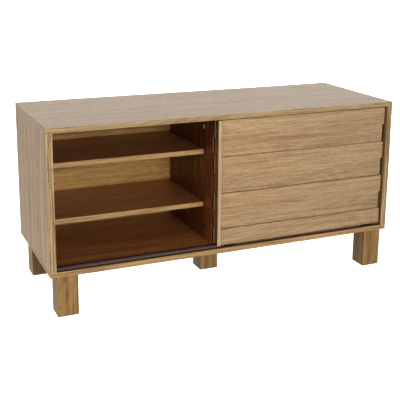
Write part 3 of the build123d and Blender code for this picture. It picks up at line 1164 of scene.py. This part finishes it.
@dataclass
class SlidingDoor:
    """One slatted door: backing, slats, edge strip, runners and their screws."""

    name: str
    finishes: Finishes
    figure: int
    full_slats: int = 3
    pull_height: float = 0.054
    slat_round: float = 0.001
    backing_figure: float = 0.5
    strip_figure: float = 0.8
    slat_figures: float = 40.0
    screw: CrossScrew = CrossScrew()

    def build(self) -> None:
        """Makes the slats and screws and dresses the rest."""
        backing = self.finishes.back.material(f"{self.name}_backing", Grain.LENGTHWISE,
                                              self.figure + self.backing_figure, None)
        dress(f"{self.name}_backing", backing)
        strip = f"{self.name}_edge_strip"
        figure = self.figure + self.strip_figure
        # the strip's dark end faces are painted shade
        dress(strip, self.finishes.strip.material(strip, Grain.UPRIGHT, figure, Span.of(strip)))
        for node in (f"{self.name}_top_guides", f"{self.name}_bottom_glides"):
            # the near-black runners and guides are painted shade
            dress(node, self.finishes.nylon.material())
        nodes = [f"{self.name}_slat_{number + 1}" for number in range(self.full_slats + 1)]
        install(self.slats(nodes), self.name, nodes)
        middle = Span.of(f"{self.name}_backing").centre.z
        screws = self.screw.grow(f"{self.name}_screws_recessed", f"{self.name}_screws",
                                 self.finishes.zinc.material(), middle, Heads.OUTWARD)
        install(screws, self.name, [f"{self.name}_screws"])

    def slats(self, nodes: Sequence[str]) -> bpy.types.Object:
        """Makes the full slats, cut back at the handle end, and the low last one.

        Args:
            nodes: The CAD nodes of the slats, from the top down.

        Returns:
            All the slats as one piece.
        """
        first, second, last = (Span.of(nodes[place]) for place in (0, 1, -1))
        backing = Span.of(f"{self.name}_backing")
        way = 1.0 if first.high.x > backing.high.x else -1.0
        handle_end = first.high.x if way > 0 else first.low.x
        foot = backing.high.x if way > 0 else backing.low.x

        maker = Maker(f"{self.name}_slats")
        long = maker.size("Length", first.size.x)
        thick = maker.size("Thickness", first.size.y)
        high = maker.size("Height", first.size.z)
        low_high = maker.size("Last Height", last.size.z)
        pitch = maker.size("Pitch", first.high.z - second.high.z)
        pull_deep = maker.size("Pull Depth", abs(handle_end - foot))
        pull_high = maker.size("Pull Height", self.pull_height)
        toward = maker.size("Handle Way", way)
        count = maker.size("Full Slats", self.full_slats)
        seed = maker.size("Seed", self.figure)

        slat = maker.cube(maker.vector(long, thick, high), (0.0, 0.0, 0.0))
        end = maker.math("MULTIPLY", toward, maker.math("MULTIPLY", long, 0.5))
        foot_z = maker.math("MULTIPLY", high, -0.5)
        notch = maker.cube(
            maker.vector(maker.math("MULTIPLY", pull_deep, 2.0),
                         maker.math("MULTIPLY", thick, 2.0),
                         maker.math("MULTIPLY", pull_high, 2.0)),
            maker.vector(end, 0.0, foot_z))
        inputs = {"Count": count,
                  "Offset": maker.vector(0.0, 0.0, maker.math("MULTIPLY", pitch, -1.0))}
        rows = maker.node("GeometryNodeMeshLine", inputs).outputs[0]
        full = maker.node("GeometryNodeInstanceOnPoints",
                          {"Points": rows, "Instance": maker.cut(slat, notch)}).outputs[0]
        rows_deep = maker.math("MULTIPLY", pitch, maker.math("MULTIPLY", count, -1.0))
        raised = maker.math("MULTIPLY", maker.math("SUBTRACT", high, low_high), 0.5)
        drop = maker.math("ADD", rows_deep, raised)
        low_slat = maker.cube(maker.vector(long, thick, low_high), (0.0, 0.0, 0.0))
        one = maker.node("GeometryNodeMeshLine", {
            "Count": 1, "Start Location": maker.vector(0.0, 0.0, drop)}).outputs[0]
        single = maker.node("GeometryNodeInstanceOnPoints",
                            {"Points": one, "Instance": low_slat}).outputs[0]
        chance = maker.node("FunctionNodeRandomValue",
                            {2: 0.0, 3: self.slat_figures, "Seed": seed})
        store = maker.node("GeometryNodeStoreNamedAttribute", {
            "Geometry": maker.join(single, full), "Name": "board",
            "Value": chance.outputs[1]}, domain="INSTANCE")
        moved = maker.node("GeometryNodeTransform", {
            "Geometry": store.outputs[0], "Translation": tuple(first.centre)}).outputs[0]
        oak = self.finishes.door.material(f"{self.name}_slats", Grain.LENGTHWISE, None, None)
        maker.finish(moved, maker.size("Finish", oak))
        start = bpy.data.meshes.new("start")
        return maker.grow(f"{self.name}_slats", start, self.slat_round)


@dataclass
class Fittings:
    """Cam locks, their bolts, dowels and the rubber buffers that stop the doors."""

    finishes: Finishes
    rim_round: float = 0.0005
    recess_arm: float = 0.0045
    recess_width: float = 0.0016
    recess_depth: float = 0.0014
    dish_share: float = 0.8
    dish_sink: float = 0.8
    dish_floor: float = 0.74
    cam_facets: int = 32
    dome_rings: int = 7
    dome_foot: float = 0.4
    dome_tip: float = 0.08
    buffer_facets: int = 24

    def build(self) -> None:
        """Makes the cams and buffers and dresses the hidden fittings."""
        dress("cam_bolts", self.finishes.zinc.material())
        dress("wood_dowels", self.finishes.beech.material())
        install(self.cams(), "carcass", ["cam_locks"])
        install(self.buffers(), "carcass", ["door_bumpers"])

    def cams(self) -> bpy.types.Object:
        """Makes the cam locks, each with a rounded rim, a dished face and a cross recess.

        Returns:
            All the cam locks as one piece.
        """
        found = solids("cam_locks")
        left_face = Span.of("left_side_panel").high.x
        middle = Span.of("left_side_panel").centre.z
        places = []
        for span in found:
            outward = 1.0 if abs(span.high.x - left_face) < self.rim_round else -1.0
            face = span.high.x if outward > 0 else span.low.x
            centre = Vector((face, span.centre.y, span.centre.z))
            places.append((centre, Euler((0.0, outward * QUARTER_TURN, 0.0))))
        maker = Maker("cam_locks")
        radius = maker.size("Radius", found[0].size.y / 2)
        deep = maker.size("Length", found[0].size.x)
        ease = maker.size("Rim Round", self.rim_round)
        arm = maker.size("Recess Arm", self.recess_arm)
        width = maker.size("Recess Width", self.recess_width)
        sink = maker.size("Recess Depth", self.recess_depth)
        rear = maker.math("MULTIPLY", deep, -1.0)
        slim = maker.math("SUBTRACT", radius, ease)
        step = maker.math("MULTIPLY", ease, ROUND_SHARE)
        floor = maker.math("MULTIPLY", ease, -self.dish_sink)
        body = maker.turned([
            (rear, slim),
            (maker.math("ADD", rear, ease), radius),
            (maker.math("MULTIPLY", ease, -1.0), radius),
            (maker.math("MULTIPLY", step, -1.0), maker.math("SUBTRACT", radius, step)),
            (0.0, slim),
            (0.0, maker.math("MULTIPLY", radius, self.dish_share)),
            (floor, maker.math("MULTIPLY", radius, self.dish_floor)),
        ], self.cam_facets)
        crossed = maker.crossed(body, arm, width, sink)
        finish = maker.size("Finish", self.finishes.cast.material(middle))
        maker.finish(maker.on_points(crossed), finish)
        return maker.grow("cam_locks_dished", point_cloud(places))

    def buffers(self) -> bpy.types.Object:
        """Makes the rubber buffers, each a low dome on a side board.

        Returns:
            All the buffers as one piece.
        """
        found = solids("door_bumpers")
        middle = Span.of("bottom_track").centre.x
        places = []
        for span in found:
            inward = 1.0 if span.centre.x < middle else -1.0
            face = span.low.x if inward > 0 else span.high.x
            centre = Vector((face, span.centre.y, span.centre.z))
            places.append((centre, Euler((0.0, inward * QUARTER_TURN, 0.0))))
        maker = Maker("door_bumpers")
        radius = maker.size("Radius", found[0].size.y / 2)
        high = maker.size("Length", found[0].size.x)
        rings = [(0.0, radius)]
        for step in range(self.dome_rings):
            angle = step / (self.dome_rings - 1) * QUARTER_TURN
            rise = self.dome_foot + (1.0 - self.dome_foot) * math.sin(angle)
            spread = max(math.cos(angle), self.dome_tip)
            rings.append((maker.math("MULTIPLY", high, rise),
                          maker.math("MULTIPLY", radius, spread)))
        dome = maker.turned(rings, self.buffer_facets)
        finish = maker.size("Finish", self.finishes.rubber.material())
        maker.finish(maker.on_points(dome), finish)
        return maker.grow("door_bumpers_domed", point_cloud(places))


# ---------------------------------------------------------------- studio


@dataclass(frozen=True)
class Softbox:
    """A soft rectangular light: its middle and sides in metres, its power in watts."""

    name: str
    place: Vector
    sides: tuple[float, float]
    power: float


@dataclass(frozen=True)
class Studio:
    """A pale floor, white surroundings, soft lights and the camera."""

    camera_place: Vector = Vector((-1.0142, -2.2751, 1.0026))
    yaw: float = math.radians(23.577)
    pitch: float = math.radians(13.183)
    roll: float = math.radians(0.494)
    lens: float = 73.66
    sensor: float = 36.0
    shift_y: float = -0.15
    floor_half: float = 14.0
    floor_colour: Colour = (0.88, 0.88, 0.87)
    floor_roughness: float = 0.9
    floor_glow: Colour = (1.0, 1.0, 0.99)
    floor_glow_strength: float = 0.6
    horizon: float = 0.12
    low_sky: float = 0.5
    high_sky: float = 0.8
    sky_light: float = 0.22
    softboxes: tuple[Softbox, ...] = (
        Softbox("key", Vector((-0.35, -3.4, 1.1)), (1.6, 1.0), 76.0),
        Softbox("fill", Vector((-3.4, -0.6, 0.85)), (1.8, 1.3), 32.0),
        Softbox("rear", Vector((2.4, 2.9, 0.9)), (2.0, 1.3), 44.0),
    )

    def build(self) -> None:
        """Sets up everything that isn't the stand."""
        view = bpy.context.scene.view_settings
        view.view_transform = "Standard"
        view.look = "Very High Contrast"
        self.camera()
        self.floor()
        self.world()
        for box in self.softboxes:
            self.hang(box)

    def camera(self) -> None:
        """Places the scene's camera."""
        data = bpy.data.cameras.new("camera")
        data.sensor_width = self.sensor
        data.lens = self.lens
        data.shift_y = self.shift_y
        ahead = Vector((math.sin(self.yaw) * math.cos(self.pitch),
                        math.cos(self.yaw) * math.cos(self.pitch), -math.sin(self.pitch)))
        level = Vector((math.cos(self.yaw), -math.sin(self.yaw), 0.0))
        upright = level.cross(ahead)
        side = level * math.cos(self.roll) + upright * math.sin(self.roll)
        up = upright * math.cos(self.roll) - level * math.sin(self.roll)
        turn = Matrix((side, up, -ahead)).transposed().to_4x4()
        camera = bpy.data.objects.new("camera", data)
        camera.matrix_world = Matrix.Translation(self.camera_place) @ turn
        bpy.context.scene.collection.objects.link(camera)
        bpy.context.scene.camera = camera

    def floor(self) -> None:
        """Lays a large plain floor under the stand."""
        mesh = bpy.data.meshes.new("floor")
        half = self.floor_half
        corners = [(-half, -half, 0.0), (half, -half, 0.0), (half, half, 0.0), (-half, half, 0.0)]
        mesh.from_pydata(corners, [], [(0, 1, 2, 3)])
        shader = Shader("studio_floor")
        shader.set(Base_color=(*self.floor_colour, 1.0), Roughness=self.floor_roughness,
                   Emission_color=(*self.floor_glow, 1.0),
                   Emission_strength=self.floor_glow_strength)
        shader.surface.inputs["Specular IOR Level"].default_value = 0.0
        mesh.materials.append(shader.material)
        floor = new_object("studio_floor", mesh)
        floor.visible_diffuse = False
        floor.visible_glossy = False

    def world(self) -> None:
        """Sets white surroundings that light less than they show."""
        world = bpy.data.worlds.new("studio")
        bpy.context.scene.world = world
        world.use_nodes = True
        graph = Graph(world.node_tree)
        direction = graph.node("ShaderNodeTexCoord").outputs["Generated"]
        height = graph.parts(direction)[2]
        shown = graph.remap(height, -self.horizon, self.horizon, self.low_sky, self.high_sky)
        ray = graph.node("ShaderNodeLightPath").outputs["Is Diffuse Ray"]
        strength = graph.blend(ray, shown, self.sky_light)
        background = world.node_tree.nodes["Background"]
        graph.feed(background.inputs["Color"], (1.0, 1.0, 1.0, 1.0))
        graph.feed(background.inputs["Strength"], strength)

    def hang(self, box: Softbox) -> None:
        """Hangs a soft light, aimed at the middle of the stand.

        Args:
            box: The light's place, sides and power.
        """
        data = bpy.data.lights.new(box.name, "AREA")
        data.shape = "RECTANGLE"
        data.size, data.size_y = box.sides
        data.energy = box.power
        lamp = bpy.data.objects.new(box.name, data)
        aim = (cad_box[0] + cad_box[1]) / 2 - box.place
        lamp.location = box.place
        lamp.rotation_euler = aim.to_track_quat("-Z", "Y").to_euler()
        lamp.visible_glossy = False
        bpy.context.scene.collection.objects.link(lamp)


def main() -> None:
    """Builds the sub-assemblies in order and sets the studio."""
    logging.basicConfig(level=logging.INFO, format="%(name)s: %(message)s")
    finishes = Finishes()
    Studio().build()
    for assembly in (
        Carcass(finishes),
        Shelving(finishes),
        Legs(finishes),
        Tracks(finishes),
        SlidingDoor("front_door", finishes, 21),
        SlidingDoor("rear_door", finishes, 34),
        Fittings(finishes),
    ):
        assembly.build()
        log.info("finished %s", type(assembly).__name__)


if __name__ == "__main__":
    main()
